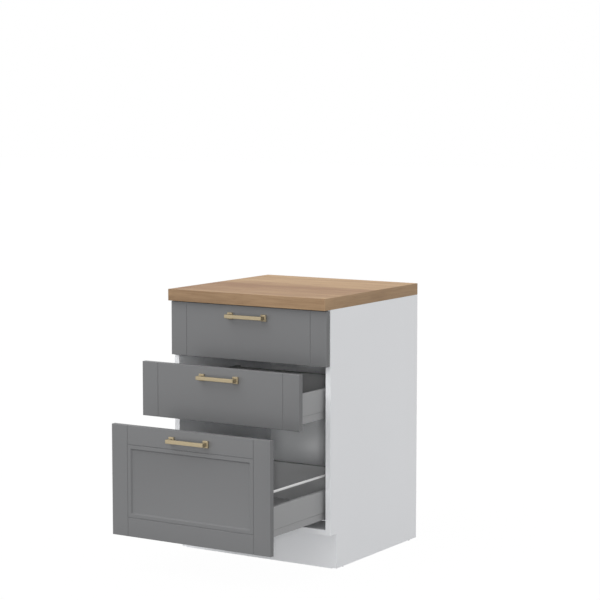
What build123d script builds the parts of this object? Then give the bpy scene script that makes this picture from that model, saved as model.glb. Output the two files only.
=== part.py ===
from build123d import *
import os

# A kitchen base cabinet with three drawers, in millimetres.
# X runs left to right, Y from the front to the wall, Z up.  The origin lies on the floor, midway
# between the sides, where the front face of the toe kick meets the floor.
# The drawers stand part open: the top one is shut, the middle one a third out, the bottom one
# two thirds out.

os.makedirs("parts", exist_ok=True)

# ---------------------------------------------------------------- driving dimensions
# Carcass
cabinet_width = 600.0
carcass_height = 720.0
carcass_depth = 565.0
panel_thickness = 18.0
toe_kick_height = 114.0
toe_kick_setback = 38.0
toe_kick_thickness = 16.0
toe_kick_clearance = 0.2
back_thickness = 3.0
back_recess = 4.0
back_groove_depth = 6.0
back_groove_clearance = 0.2
stretcher_width = 90.0

# Worktop
worktop_thickness = 38.0
worktop_overhang = 35.0
edge_band_thickness = 1.0

# Floor glides
glide_thickness = 2.0
glide_diameter = 16.0
glide_pin_diameter = 4.0
glide_pin_length = 12.0
glide_inset = 45.0

# Knock-down fittings
cam_diameter = 15.0
cam_depth = 12.5
cam_distance = 34.0
cam_slot_width = 7.6
cam_bolt_bore = 8.0
cam_bolt_shank = 5.6
cam_bolt_head = 6.8
cam_bolt_thread = 5.0
cam_bolt_thread_length = 11.0
dowel_diameter = 8.0
dowel_in_side = 11.0
dowel_in_panel = 19.0
dowel_offset = 32.0
fitting_clearance = 0.1

# Worktop fixing
bracket_leg = 28.0
bracket_width = 22.0
bracket_sheet = 2.0
bracket_inset = 120.0
wood_screw_diameter = 4.0
wood_screw_head_diameter = 8.0
wood_screw_head_height = 2.5
wood_screw_grip = 14.0
wall_hole_diameter = 6.0
wall_hole_spacing = 400.0

# Drawer fronts
front_thickness = 18.0
front_side_reveal = 2.0
front_top_reveal = 3.0
front_bottom_reveal = 2.0
front_split = 4.0
front_standoff = 2.0
small_front_height = 176.0
frame_width = 61.0
groove_width = 3.2
groove_depth = 1.8
bead_width = 12.0
recess_depth = 5.0
recess_bevel_angle = 28.0
front_edge_radius = 1.8

# Handles
handle_length = 140.0
handle_hole_spacing = 128.0
handle_projection = 28.0
handle_bar_height = 12.0
handle_bar_depth = 9.0
handle_foot_width = 19.0
handle_foot_height = 22.0
handle_foot_thickness = 7.0
handle_foot_chamfer = 1.5
handle_bar_radius = 1.6
handle_drop = 34.5
framed_handle_drop = 32.0
handle_screw_diameter = 4.0
handle_screw_reach = 9.0

# Drawer boxes
side_gap = 10.0
side_width = 15.0
side_height = 93.5
side_rear_clearance = 52.0
side_sheet = 1.2
side_ledge = 11.0
side_band_height = 22.0
side_band_step = 2.0
board_thickness = 16.0
board_clearance = 0.3
back_drop = 5.0
box_lift = 12.5
bottom_box_lift = 46.5
bracket_plate = 1.5
front_bracket_reach = 45.0
rear_bracket_reach = 32.0
rear_bracket_corner = 8.0
bracket_margin = 6.0
drawer_screw_diameter = 3.5
drawer_screw_grip = 11.0
drawer_screw_pitch = 32.0

# Gallery rails of the bottom drawer
rail_diameter = 8.0
rail_height = 139.0
socket_diameter = 14.0
socket_length = 12.0
socket_floor = 2.0
rail_clearance = 0.1

# Telescopic runners
runner_sheet = 1.2
runner_height = 20.0
runner_lift = 1.0
runner_clearance = 0.4
runner_side_clearance = 0.6
runner_mouth_clearance = 0.6
runner_flange = 16.0
rail_inset = 3.0
cabinet_rail_cut = 2.0
middle_rail_cut = 16.0
drawer_rail_cut = 9.0
runner_screw_inset = 34.0
runner_screw_count = 3
runner_screw_diameter = 4.8
runner_screw_grip = 12.0
runner_screw_head_diameter = 8.0
runner_screw_head_height = 2.4

# How far each drawer stands out
open_top = 0.0
open_middle = 161.0
open_bottom = 326.0

# ---------------------------------------------------------------- derived places
x_outer = cabinet_width / 2
x_inner = x_outer - panel_thickness
x_side = x_inner - side_gap
x_wall = x_side - side_width
y_front = -toe_kick_setback
y_rear = y_front + carcass_depth
y_back = y_rear - back_recess - back_thickness
y_stretcher = y_back - panel_thickness
y_shut = y_front - front_standoff
side_length = y_stretcher - side_rear_clearance - y_shut
cabinet_rail_length = side_length - rail_inset - cabinet_rail_cut
middle_rail_length = side_length - 2 * rail_inset - middle_rail_cut
drawer_rail_length = side_length - rail_inset - drawer_rail_cut
bracket_spacing = cabinet_width - 2 * bracket_inset
runner_width = side_width - 2 * side_sheet - side_band_step - runner_side_clearance
runner_mouth = runner_sheet + 2 * runner_mouth_clearance
runner_nesting = runner_sheet + runner_clearance
runner_screw_pitch = (cabinet_rail_length - 2 * runner_screw_inset) / (runner_screw_count - 1)
z_base = toe_kick_height
z_floor = z_base + panel_thickness
z_top = z_base + carcass_height
z_wood = glide_thickness

front_width = cabinet_width - 2 * front_side_reveal
z_bottom_front = z_base + front_bottom_reveal
z_top_front = z_top - front_top_reveal - small_front_height
z_middle_front = z_top_front - front_split - small_front_height
bottom_front_height = z_middle_front - front_split - z_bottom_front

HANDS = {"left": -1, "right": 1}
GLIDE_YS = (glide_inset, y_rear - glide_inset)
CAM_YS = (y_front + 2 * glide_inset, y_rear - 2 * glide_inset)
STRETCHER_PITCH = dowel_offset / 2
RUNNER_SCREW_YS = [
    y_front + rail_inset + runner_screw_inset + n * runner_screw_pitch for n in range(runner_screw_count)
]

# Each drawer: the height of its front's lower edge, the front's height, how far its box is lifted
# above that edge, the top of its back board above the box, and how far it stands out.
DRAWERS = {
    "top": (z_top_front, small_front_height, box_lift, side_height - back_drop, open_top),
    "middle": (z_middle_front, small_front_height, box_lift, side_height - back_drop, open_middle),
    "bottom": (z_bottom_front, bottom_front_height, bottom_box_lift, rail_height, open_bottom),
}


def finish(builder, name):
    """Label a finished piece and write it to its own file."""
    builder.part.label = name
    export_step(builder.part, f"parts/{name}.step")


# ---------------------------------------------------------------- knock-down fittings
# Every panel end takes one cam and one dowel beside it, or a pair of each.  A joint is the place
# (y, z) of the bolt's axis on the side panel and the face that its cam is turned from.
bottom_joints = [(y, z_base + panel_thickness / 2, "under") for y in CAM_YS]
front_joint = (y_front + stretcher_width / 2 - STRETCHER_PITCH, z_top - panel_thickness / 2, "under")
rear_joint = (y_back - panel_thickness / 2, z_top - stretcher_width / 2 - STRETCHER_PITCH, "front")
cam_joints = bottom_joints + [front_joint, rear_joint]
dowel_places = [
    (CAM_YS[0] + dowel_offset, z_base + panel_thickness / 2),
    (CAM_YS[1] - dowel_offset, z_base + panel_thickness / 2),
    (front_joint[0] + dowel_offset, front_joint[1]),
    (rear_joint[0], rear_joint[1] + dowel_offset),
    (toe_kick_thickness / 2, z_base / 3),
    (toe_kick_thickness / 2, 2 * z_base / 3),
]
cam_seat = cam_depth - panel_thickness / 2


def end_bores(places, diameter, depth):
    """Cut bores of one depth into the ends of a panel, from both side panels' inner faces."""
    for hand in HANDS.values():
        with BuildSketch(Plane.YZ.offset(hand * x_inner)) as bores:
            with Locations(*places):
                Circle(diameter / 2)
        extrude(bores.sketch, amount=-hand * depth, mode=Mode.SUBTRACT)


def cam_plane(joint, hand, depth=0.0):
    """The plane of a cam's outer face, looking out of the board, at its centre."""
    y, z, face = joint
    x = hand * (x_inner - cam_distance)
    out = panel_thickness / 2 - depth
    if face == "under":
        return Plane(origin=(x, y, z - out), x_dir=(hand, 0, 0), z_dir=(0, 0, -1))
    return Plane(origin=(x, y - out, z), x_dir=(hand, 0, 0), z_dir=(0, -1, 0))


def cam_pockets(joints):
    """Cut the round pockets that the cams sit in."""
    for joint in joints:
        for hand in HANDS.values():
            with BuildSketch(cam_plane(joint, hand)) as pocket:
                Circle(cam_diameter / 2)
            extrude(pocket.sketch, amount=-cam_depth, mode=Mode.SUBTRACT)


def make_cam_locks():
    with BuildPart() as cam_locks:
        for joint in cam_joints:
            for hand in HANDS.values():
                with BuildSketch(cam_plane(joint, hand, fitting_clearance)):
                    Circle(cam_diameter / 2 - fitting_clearance)
                extrude(amount=-(cam_depth - 2 * fitting_clearance))
                # the slot that draws the bolt's head in, and the cross for the driver
                slot = cam_plane(joint, hand, panel_thickness / 2)
                with BuildSketch(slot.offset(-cam_slot_width / 2)):
                    with Locations((cam_diameter / 4, 0)):
                        Rectangle(cam_diameter, cam_slot_width)
                extrude(amount=cam_slot_width, mode=Mode.SUBTRACT)
                with BuildSketch(cam_plane(joint, hand, fitting_clearance)):
                    Rectangle(cam_diameter / 2, cam_diameter / 8)
                    Rectangle(cam_diameter / 8, cam_diameter / 2)
                extrude(amount=-cam_seat / 2, mode=Mode.SUBTRACT)
    finish(cam_locks, "cam_locks")


def make_cam_bolts():
    neck = cam_distance - cam_diameter / 4
    tip = cam_distance - fitting_clearance
    with BuildPart() as cam_bolts:
        for y, z, face in cam_joints:
            for hand in HANDS.values():
                with BuildSketch(Plane(origin=(hand * x_inner, y, z), x_dir=(-hand, 0, 0), z_dir=(0, 1, 0))):
                    with BuildLine():
                        Polyline(
                            (-cam_bolt_thread_length, 0),
                            (-cam_bolt_thread_length, cam_bolt_thread / 2 - fitting_clearance),
                            (0, cam_bolt_thread / 2 - fitting_clearance),
                            (0, cam_bolt_shank / 2),
                            (neck, cam_bolt_shank / 2),
                            (neck, cam_bolt_head / 2),
                            (tip, cam_bolt_head / 2),
                            (tip, 0),
                            close=True,
                        )
                    make_face()
                revolve(axis=Axis((hand * x_inner, y, z), (1, 0, 0)))
    finish(cam_bolts, "cam_bolts")


def make_dowels():
    with BuildPart() as dowels:
        for hand in HANDS.values():
            with BuildSketch(Plane.YZ.offset(hand * (x_inner + dowel_in_side))):
                with Locations(*dowel_places):
                    Circle(dowel_diameter / 2 - fitting_clearance)
            extrude(amount=-hand * (dowel_in_side + dowel_in_panel))
    finish(dowels, "dowels")


# ---------------------------------------------------------------- carcass
def make_side_panel(hand, name):
    """A side down to the floor, notched for the toe kick and grooved for the back."""
    cam_holes = [(y, z) for y, z, face in cam_joints]
    box_bases = [front_z + lift for front_z, height, lift, back, out in DRAWERS.values()]
    screw_z = runner_lift + runner_height + runner_flange / 2
    with BuildPart() as side_panel:
        with BuildSketch(Plane.YZ.offset(hand * x_inner)):
            with BuildLine():
                Polyline(
                    (0, z_wood),
                    (y_rear, z_wood),
                    (y_rear, z_top),
                    (y_front, z_top),
                    (y_front, z_base),
                    (0, z_base),
                    close=True,
                )
            make_face()
        extrude(amount=hand * panel_thickness)
        groove = back_thickness + 2 * back_groove_clearance
        with BuildSketch(Plane.XY.offset(z_floor - back_groove_depth)):
            with Locations((hand * (x_inner + back_groove_depth / 2), y_back + back_thickness / 2)):
                Rectangle(back_groove_depth, groove)
        extrude(amount=z_top - z_floor + back_groove_depth, mode=Mode.SUBTRACT)
        with BuildSketch(Plane.YZ.offset(hand * x_inner)):
            with Locations(*cam_holes):
                Circle(cam_bolt_thread / 2)
        extrude(amount=hand * (cam_bolt_thread_length + fitting_clearance), mode=Mode.SUBTRACT)
        with BuildSketch(Plane.YZ.offset(hand * x_inner)):
            with Locations(*dowel_places):
                Circle(dowel_diameter / 2)
        extrude(amount=hand * (dowel_in_side + fitting_clearance), mode=Mode.SUBTRACT)
        with BuildSketch(Plane.YZ.offset(hand * x_inner)):
            with Locations(*[(y, base + screw_z) for y in RUNNER_SCREW_YS for base in box_bases]):
                Circle(runner_screw_diameter / 2)
        extrude(amount=hand * (runner_screw_grip + fitting_clearance), mode=Mode.SUBTRACT)
        with BuildSketch(Plane.XY.offset(z_wood)):
            with Locations(*[(hand * (x_inner + panel_thickness / 2), y) for y in GLIDE_YS]):
                Circle(glide_pin_diameter / 2)
        extrude(amount=glide_pin_length + fitting_clearance, mode=Mode.SUBTRACT)
    finish(side_panel, name)


def make_bottom_panel():
    with BuildPart() as bottom_panel:
        with BuildSketch(Plane.XY.offset(z_base)):
            with Locations((0, (y_front + y_rear) / 2)):
                Rectangle(2 * x_inner, carcass_depth)
        extrude(amount=panel_thickness)
        with BuildSketch(Plane.XY.offset(z_floor)):
            with Locations((0, y_back + back_thickness / 2)):
                Rectangle(2 * x_inner, back_thickness + 2 * back_groove_clearance)
        extrude(amount=-back_groove_depth, mode=Mode.SUBTRACT)
        cam_pockets(bottom_joints)
        end_bores([(y, z) for y, z, face in bottom_joints], cam_bolt_bore, cam_distance)
        end_bores(dowel_places[0:2], dowel_diameter, dowel_in_panel + fitting_clearance)
    finish(bottom_panel, "bottom_panel")


def make_back_panel():
    z_low = z_floor - back_groove_depth + back_groove_clearance
    with BuildPart() as back_panel:
        with BuildSketch(Plane.XZ.offset(-y_back)):
            with Locations((0, (z_low + z_top) / 2)):
                Rectangle(2 * (x_inner + back_groove_depth - back_groove_clearance), z_top - z_low)
            with Locations(*[(side * wall_hole_spacing / 2, z_top - stretcher_width / 2) for side in (-1, 1)]):
                Circle(wall_hole_diameter / 2, mode=Mode.SUBTRACT)
        extrude(amount=-back_thickness)
    finish(back_panel, "back_panel")


def make_front_stretcher():
    with BuildPart() as front_stretcher:
        with BuildSketch(Plane.XY.offset(z_top - panel_thickness)):
            with Locations((0, y_front + stretcher_width / 2)):
                Rectangle(2 * x_inner, stretcher_width)
                with GridLocations(bracket_spacing, 0, 2, 1):
                    Circle(wood_screw_diameter / 2 + fitting_clearance, mode=Mode.SUBTRACT)
        extrude(amount=panel_thickness)
        cam_pockets([front_joint])
        end_bores([front_joint[0:2]], cam_bolt_bore, cam_distance)
        end_bores([dowel_places[2]], dowel_diameter, dowel_in_panel + fitting_clearance)
    finish(front_stretcher, "front_stretcher")


def make_rear_stretcher():
    with BuildPart() as rear_stretcher:
        with BuildSketch(Plane.XZ.offset(-y_back)):
            with Locations((0, z_top - stretcher_width / 2)):
                Rectangle(2 * x_inner, stretcher_width)
                with GridLocations(wall_hole_spacing, 0, 2, 1):
                    Circle(wall_hole_diameter / 2, mode=Mode.SUBTRACT)
        extrude(amount=panel_thickness)
        with BuildSketch(Plane.XZ.offset(-y_stretcher)):
            with Locations((0, z_top - bracket_leg / 2)):
                with GridLocations(bracket_spacing, 0, 2, 1):
                    Circle(wood_screw_diameter / 2)
        extrude(amount=-(wood_screw_grip + fitting_clearance), mode=Mode.SUBTRACT)
        cam_pockets([rear_joint])
        end_bores([rear_joint[0:2]], cam_bolt_bore, cam_distance)
        end_bores([dowel_places[3]], dowel_diameter, dowel_in_panel + fitting_clearance)
    finish(rear_stretcher, "rear_stretcher")


def make_toe_kick():
    with BuildPart() as toe_kick:
        with BuildSketch(Plane.XY):
            with Locations((0, toe_kick_thickness / 2)):
                Rectangle(2 * (x_inner - toe_kick_clearance), toe_kick_thickness)
        extrude(amount=z_base)
        end_bores(dowel_places[4:6], dowel_diameter, dowel_in_panel + fitting_clearance)
    finish(toe_kick, "toe_kick")


def make_floor_glides():
    with BuildPart() as floor_glides:
        places = [
            (hand * (x_inner + panel_thickness / 2), y) for hand in HANDS.values() for y in GLIDE_YS
        ]
        with BuildSketch(Plane.XY):
            with Locations(*places):
                Circle(glide_diameter / 2)
        extrude(amount=glide_thickness)
        with BuildSketch(Plane.XY.offset(glide_thickness)):
            with Locations(*places):
                Circle(glide_pin_diameter / 2 - fitting_clearance)
        extrude(amount=glide_pin_length)
    finish(floor_glides, "floor_glides")


# ---------------------------------------------------------------- worktop and its fixing
def make_worktop():
    y_edge = y_front - worktop_overhang + edge_band_thickness
    with BuildPart() as worktop:
        with BuildSketch(Plane.XY.offset(z_top)):
            with Locations((0, (y_edge + y_rear) / 2)):
                Rectangle(cabinet_width - 2 * edge_band_thickness, y_rear - y_edge)
        extrude(amount=worktop_thickness)
        with BuildSketch(Plane.XY.offset(z_top)):
            with Locations((0, y_front + stretcher_width / 2), (0, y_stretcher - bracket_leg / 2)):
                with GridLocations(bracket_spacing, 0, 2, 1):
                    Circle(wood_screw_diameter / 2)
        extrude(amount=wood_screw_grip + fitting_clearance, mode=Mode.SUBTRACT)
    finish(worktop, "worktop")


def make_worktop_edge_bands():
    y_band = y_front - worktop_overhang
    y_side = y_band + edge_band_thickness
    with BuildPart() as worktop_edge_bands:
        with BuildSketch(Plane.XY.offset(z_top)):
            with Locations((0, y_band + edge_band_thickness / 2)):
                Rectangle(cabinet_width, edge_band_thickness)
        extrude(amount=worktop_thickness)
        with BuildSketch(Plane.XY.offset(z_top)):
            with Locations((0, (y_side + y_rear) / 2)):
                with GridLocations(cabinet_width - edge_band_thickness, 0, 2, 1):
                    Rectangle(edge_band_thickness, y_rear - y_side)
        extrude(amount=worktop_thickness)
    finish(worktop_edge_bands, "worktop_edge_bands")


def make_worktop_brackets():
    with BuildPart() as worktop_brackets:
        for side in (-1, 1):
            with BuildSketch(Plane.YZ.offset(side * bracket_spacing / 2 - bracket_width / 2)):
                with BuildLine():
                    FilletPolyline(
                        (y_stretcher - bracket_leg, z_top),
                        (y_stretcher, z_top),
                        (y_stretcher, z_top - bracket_leg),
                        radius=bracket_sheet / 2,
                    )
                    offset(amount=bracket_sheet, side=Side.RIGHT)
                make_face()
            extrude(amount=bracket_width)
        hole = wood_screw_diameter / 2 + fitting_clearance
        with BuildSketch(Plane.XY.offset(z_top)):
            with Locations((0, y_stretcher - bracket_leg / 2)):
                with GridLocations(bracket_spacing, 0, 2, 1):
                    Circle(hole)
        extrude(amount=-bracket_sheet, mode=Mode.SUBTRACT)
        with BuildSketch(Plane.XZ.offset(-y_stretcher)):
            with Locations((0, z_top - bracket_leg / 2)):
                with GridLocations(bracket_spacing, 0, 2, 1):
                    Circle(hole)
        extrude(amount=bracket_sheet, mode=Mode.SUBTRACT)
    finish(worktop_brackets, "worktop_brackets")


def wood_screw(head_plane, head_diameter, head_height, diameter, length):
    """A pan head screw whose head seats on a plane and whose shank runs on against its normal."""
    with BuildSketch(head_plane) as head:
        Circle(head_diameter / 2)
    extrude(head.sketch, amount=head_height, taper=20)
    with BuildSketch(head_plane) as shank:
        Circle(diameter / 2 - fitting_clearance)
    extrude(shank.sketch, amount=-length)


def make_worktop_screws():
    seats = []
    for side in (-1, 1):
        x = side * bracket_spacing / 2
        y_mid = y_front + stretcher_width / 2
        seats.append((Plane((x, y_mid, z_top - panel_thickness), z_dir=(0, 0, -1)), panel_thickness))
        y_leg = y_stretcher - bracket_leg / 2
        seats.append((Plane((x, y_leg, z_top - bracket_sheet), z_dir=(0, 0, -1)), bracket_sheet))
        z_leg = z_top - bracket_leg / 2
        seats.append((Plane((x, y_stretcher - bracket_sheet, z_leg), z_dir=(0, -1, 0)), bracket_sheet))
    with BuildPart() as worktop_screws:
        for plane, clamped in seats:
            wood_screw(
                plane,
                wood_screw_head_diameter,
                wood_screw_head_height,
                wood_screw_diameter,
                clamped + wood_screw_grip,
            )
    finish(worktop_screws, "worktop_screws")


# ---------------------------------------------------------------- telescopic runners
# The runner is three steel profiles that nest in the hollow of the drawer side.  The drawer rail is
# a C profile with its mouth down, and the middle rail is a smaller one inside it.  The cabinet rail
# is a plate that reaches under the drawer side's lower edge, with a flange up the cabinet's side and
# a headed rib up into the middle rail.
x_runner = x_wall + side_sheet + runner_width / 2


def c_profile(x_centre, z_low, width, height):
    """A C section with its mouth down, standing on z_low."""
    with Locations((x_centre, z_low + height / 2)):
        Rectangle(width, height)
        Rectangle(width - 2 * runner_sheet, height - 2 * runner_sheet, mode=Mode.SUBTRACT)
    with Locations((x_centre, z_low + runner_sheet / 2)):
        Rectangle(runner_mouth, runner_sheet, mode=Mode.SUBTRACT)


def make_cabinet_rails(key, box_z):
    z_plate = box_z - runner_nesting
    z_drawer_rail = box_z + runner_lift + runner_height
    z_head = z_drawer_rail - 2 * runner_nesting
    z_flange = z_drawer_rail + runner_flange
    x_rib = x_runner - runner_sheet / 2
    y_start = y_front + rail_inset
    with BuildPart() as cabinet_rails:
        for hand in HANDS.values():
            with BuildSketch(Plane.XZ.offset(-y_start)):
                with Locations((hand * x_runner, z_head - runner_sheet / 2)):
                    Rectangle(runner_width - 4 * runner_nesting, runner_sheet)
                with Locations((hand * x_runner, (z_plate + z_head) / 2)):
                    Rectangle(runner_sheet, z_head - z_plate)
                with Locations((hand * (x_rib + x_inner) / 2, z_plate + runner_sheet / 2)):
                    Rectangle(x_inner - x_rib, runner_sheet)
                with Locations((hand * (x_inner - runner_sheet / 2), (z_plate + z_flange) / 2)):
                    Rectangle(runner_sheet, z_flange - z_plate)
            extrude(amount=-cabinet_rail_length)
            with BuildSketch(Plane.YZ.offset(hand * x_inner)):
                with Locations(*[(y, z_flange - runner_flange / 2) for y in RUNNER_SCREW_YS]):
                    Circle(runner_screw_diameter / 2 + fitting_clearance)
            extrude(amount=-hand * runner_sheet, mode=Mode.SUBTRACT)
    finish(cabinet_rails, f"cabinet_rails_{key}")


def make_middle_rail(key, hand, side, box_z, out):
    z_low = box_z + runner_lift + runner_nesting
    y_start = y_front + 2 * rail_inset - out / 2
    with BuildPart() as middle_rail:
        with BuildSketch(Plane.XZ.offset(-y_start)):
            c_profile(
                hand * x_runner,
                z_low,
                runner_width - 2 * runner_nesting,
                runner_height - 2 * runner_nesting,
            )
        extrude(amount=-middle_rail_length)
    finish(middle_rail, f"middle_rail_{key}_{side}")


def make_drawer_rails(key, box_z, y_box):
    with BuildPart() as drawer_rails:
        for hand in HANDS.values():
            with BuildSketch(Plane.XZ.offset(-(y_box + rail_inset))):
                c_profile(hand * x_runner, box_z + runner_lift, runner_width, runner_height)
            extrude(amount=-drawer_rail_length)
    finish(drawer_rails, f"drawer_rails_{key}")


def make_runner_screws():
    with BuildPart() as runner_screws:
        for front_z, height, lift, back, out in DRAWERS.values():
            z = front_z + lift + runner_lift + runner_height + runner_flange / 2
            for hand in HANDS.values():
                for y in RUNNER_SCREW_YS:
                    wood_screw(
                        Plane((hand * (x_inner - runner_sheet), y, z), z_dir=(-hand, 0, 0)),
                        runner_screw_head_diameter,
                        runner_screw_head_height,
                        runner_screw_diameter,
                        runner_sheet + runner_screw_grip,
                    )
    finish(runner_screws, "runner_screws")


# ---------------------------------------------------------------- drawers
def groove_upright(x, y_face, z_low, length):
    """Cut a V groove that runs up a front's face."""
    with BuildSketch(Plane.XY.offset(z_low)) as groove:
        with BuildLine():
            Polyline(
                (x - groove_width / 2, y_face),
                (x + groove_width / 2, y_face),
                (x, y_face + groove_depth),
                close=True,
            )
        make_face()
    extrude(groove.sketch, amount=length, mode=Mode.SUBTRACT)


def groove_across(z, y_face, x_half):
    """Cut a V groove that runs across a front's face, between its stiles."""
    with BuildSketch(Plane.YZ.offset(-x_half)) as groove:
        with BuildLine():
            Polyline(
                (y_face, z - groove_width / 2),
                (y_face, z + groove_width / 2),
                (y_face + groove_depth, z),
                close=True,
            )
        make_face()
    extrude(groove.sketch, amount=2 * x_half, mode=Mode.SUBTRACT)


def bracket_screw_zs(box_z):
    """The heights of the two screws in each drawer bracket."""
    z_mid = box_z + (runner_lift + runner_height + side_height) / 2
    return (z_mid - drawer_screw_pitch / 2, z_mid + drawer_screw_pitch / 2)


def make_front(key, front_z, height, box_z, y_box, z_handle, panelled):
    """A framed front: grooves mark the stiles, and a tall front has rails and a sunk panel."""
    y_face = y_box - front_thickness
    x_stile = front_width / 2 - frame_width
    with BuildPart() as front:
        with BuildSketch(Plane.XZ.offset(-y_box)):
            with Locations((0, front_z + height / 2)):
                Rectangle(front_width, height)
        extrude(amount=front_thickness)
        fillet(front.faces().sort_by(Axis.Y)[0].edges(), front_edge_radius)
        for side in (-1, 1):
            groove_upright(side * x_stile, y_face, front_z, height)
        if panelled:
            for z in (front_z + frame_width, front_z + height - frame_width):
                groove_across(z, y_face, x_stile)
            with BuildSketch(Plane.XZ.offset(-y_face)):
                with Locations((0, front_z + height / 2)):
                    Rectangle(
                        2 * (x_stile - bead_width),
                        height - 2 * (frame_width + bead_width),
                    )
            extrude(amount=-recess_depth, taper=recess_bevel_angle, mode=Mode.SUBTRACT)
        with BuildSketch(Plane.XZ.offset(-y_box)):
            with Locations((0, z_handle)):
                with GridLocations(handle_hole_spacing, 0, 2, 1):
                    Circle(handle_screw_diameter / 2 + fitting_clearance)
        extrude(amount=front_thickness, mode=Mode.SUBTRACT)
        with BuildSketch(Plane.XZ.offset(-y_box)):
            with Locations(
                *[(hand * x_cavity, z) for hand in HANDS.values() for z in bracket_screw_zs(box_z)]
            ):
                Circle(drawer_screw_diameter / 2)
        extrude(amount=drawer_screw_grip + fitting_clearance, mode=Mode.SUBTRACT)
    finish(front, f"front_{key}")


def make_handle(key, y_face, z_handle):
    """A brass bar of rectangular section on two square posts, each with a wider foot."""
    y_bar = y_face - handle_projection
    post = handle_length - handle_hole_spacing
    with BuildPart() as handle:
        with BuildSketch(Plane.YZ.offset(-handle_length / 2)):
            with Locations((y_bar + handle_bar_depth / 2, z_handle)):
                RectangleRounded(handle_bar_depth, handle_bar_height, handle_bar_radius)
        extrude(amount=handle_length)
        with BuildSketch(Plane.XZ.offset(-y_face)):
            with Locations((0, z_handle)):
                with GridLocations(handle_hole_spacing, 0, 2, 1):
                    Rectangle(handle_foot_width, handle_foot_height)
        extrude(amount=handle_foot_thickness)
        feet = handle.faces().filter_by(Axis.Y).sort_by(Axis.Y)
        outer_rims = [
            edge
            for face in feet
            if abs(face.center().Y - (y_face - handle_foot_thickness)) < handle_foot_thickness / 4
            for edge in face.edges()
        ]
        chamfer(outer_rims, handle_foot_chamfer)
        with BuildSketch(Plane.XZ.offset(-(y_face - handle_foot_thickness))):
            with Locations((0, z_handle)):
                with GridLocations(handle_hole_spacing, 0, 2, 1):
                    Rectangle(post, handle_bar_height)
        extrude(amount=handle_projection - handle_foot_thickness - handle_bar_depth / 2)
        with BuildSketch(Plane.XZ.offset(-y_face)):
            with Locations((0, z_handle)):
                with GridLocations(handle_hole_spacing, 0, 2, 1):
                    Circle(handle_screw_diameter / 2)
        extrude(amount=handle_screw_reach + fitting_clearance, mode=Mode.SUBTRACT)
    finish(handle, f"handle_{key}")


def make_handle_screws(key, y_box, z_handle):
    with BuildPart() as handle_screws:
        for side in (-1, 1):
            wood_screw(
                Plane((side * handle_hole_spacing / 2, y_box, z_handle), z_dir=(0, 1, 0)),
                wood_screw_head_diameter,
                wood_screw_head_height,
                handle_screw_diameter,
                front_thickness + handle_screw_reach,
            )
    finish(handle_screws, f"handle_screws_{key}")


x_cavity = (x_wall + x_side) / 2


def make_drawer_side(key, hand, side, box_z, y_box):
    """A double wall folded from sheet: ledge, inner wall, top, outer wall and recessed lower band."""
    z_cap = box_z + side_height
    z_band = box_z + side_band_height
    x_band = x_side - side_band_step
    z_ledge = box_z + side_sheet
    section = [
        (x_wall - side_ledge, z_ledge),
        (x_wall, z_ledge),
        (x_wall, z_cap),
        (x_side, z_cap),
        (x_side, z_band + side_band_step),
        (x_band, z_band),
        (x_band, box_z),
    ]
    with BuildPart() as drawer_side:
        with BuildSketch(Plane.XZ.offset(-y_box)):
            with BuildLine():
                FilletPolyline(*[(hand * x, z) for x, z in section], radius=side_sheet)
                offset(amount=side_sheet, side=Side.LEFT if hand > 0 else Side.RIGHT)
            make_face()
        extrude(amount=-side_length)
    finish(drawer_side, f"side_{key}_{side}")


def make_base(key, box_z, y_box):
    with BuildPart() as base:
        with BuildSketch(Plane.XY.offset(box_z + side_sheet)):
            with Locations((0, y_box + side_length / 2)):
                Rectangle(2 * (x_wall - board_clearance), side_length - board_clearance)
        extrude(amount=board_thickness)
        # the lower edges clear the bend between each side's ledge and wall
        chamfer(base.faces().sort_by(Axis.Z)[0].edges().filter_by(Axis.Y), side_sheet)
    finish(base, f"base_{key}")


def make_back(key, box_z, y_end, back_height):
    z_low = box_z + side_sheet + board_thickness
    z_high = box_z + back_height
    x_screw = x_wall - rear_bracket_reach / 2
    with BuildPart() as back:
        with BuildSketch(Plane.XZ.offset(-y_end)):
            with Locations((0, (z_low + z_high) / 2)):
                Rectangle(2 * (x_wall - board_clearance), z_high - z_low)
            with Locations(*[(hand * x_screw, z) for hand in HANDS.values() for z in bracket_screw_zs(box_z)]):
                Circle(drawer_screw_diameter / 2, mode=Mode.SUBTRACT)
        extrude(amount=board_thickness)
    finish(back, f"back_{key}")


def make_front_brackets(key, box_z, y_box):
    """Folded plates inside the double walls that hold the front on."""
    z_low = box_z + runner_lift + runner_height + bracket_margin
    z_high = box_z + side_height - bracket_margin
    x_plate = x_wall + side_sheet
    width = side_width - 2 * side_sheet
    with BuildPart() as front_brackets:
        for hand in HANDS.values():
            with BuildSketch(Plane.XY.offset(z_low)):
                with Locations((hand * (x_plate + width / 2), y_box + bracket_plate / 2)):
                    Rectangle(width, bracket_plate)
                with Locations((hand * (x_plate + bracket_plate / 2), y_box + front_bracket_reach / 2)):
                    Rectangle(bracket_plate, front_bracket_reach)
            extrude(amount=z_high - z_low)
        with BuildSketch(Plane.XZ.offset(-y_box)):
            with Locations(
                *[(hand * x_cavity, z) for hand in HANDS.values() for z in bracket_screw_zs(box_z)]
            ):
                Circle(drawer_screw_diameter / 2 + fitting_clearance)
        extrude(amount=-bracket_plate, mode=Mode.SUBTRACT)
    finish(front_brackets, f"front_brackets_{key}")


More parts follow.
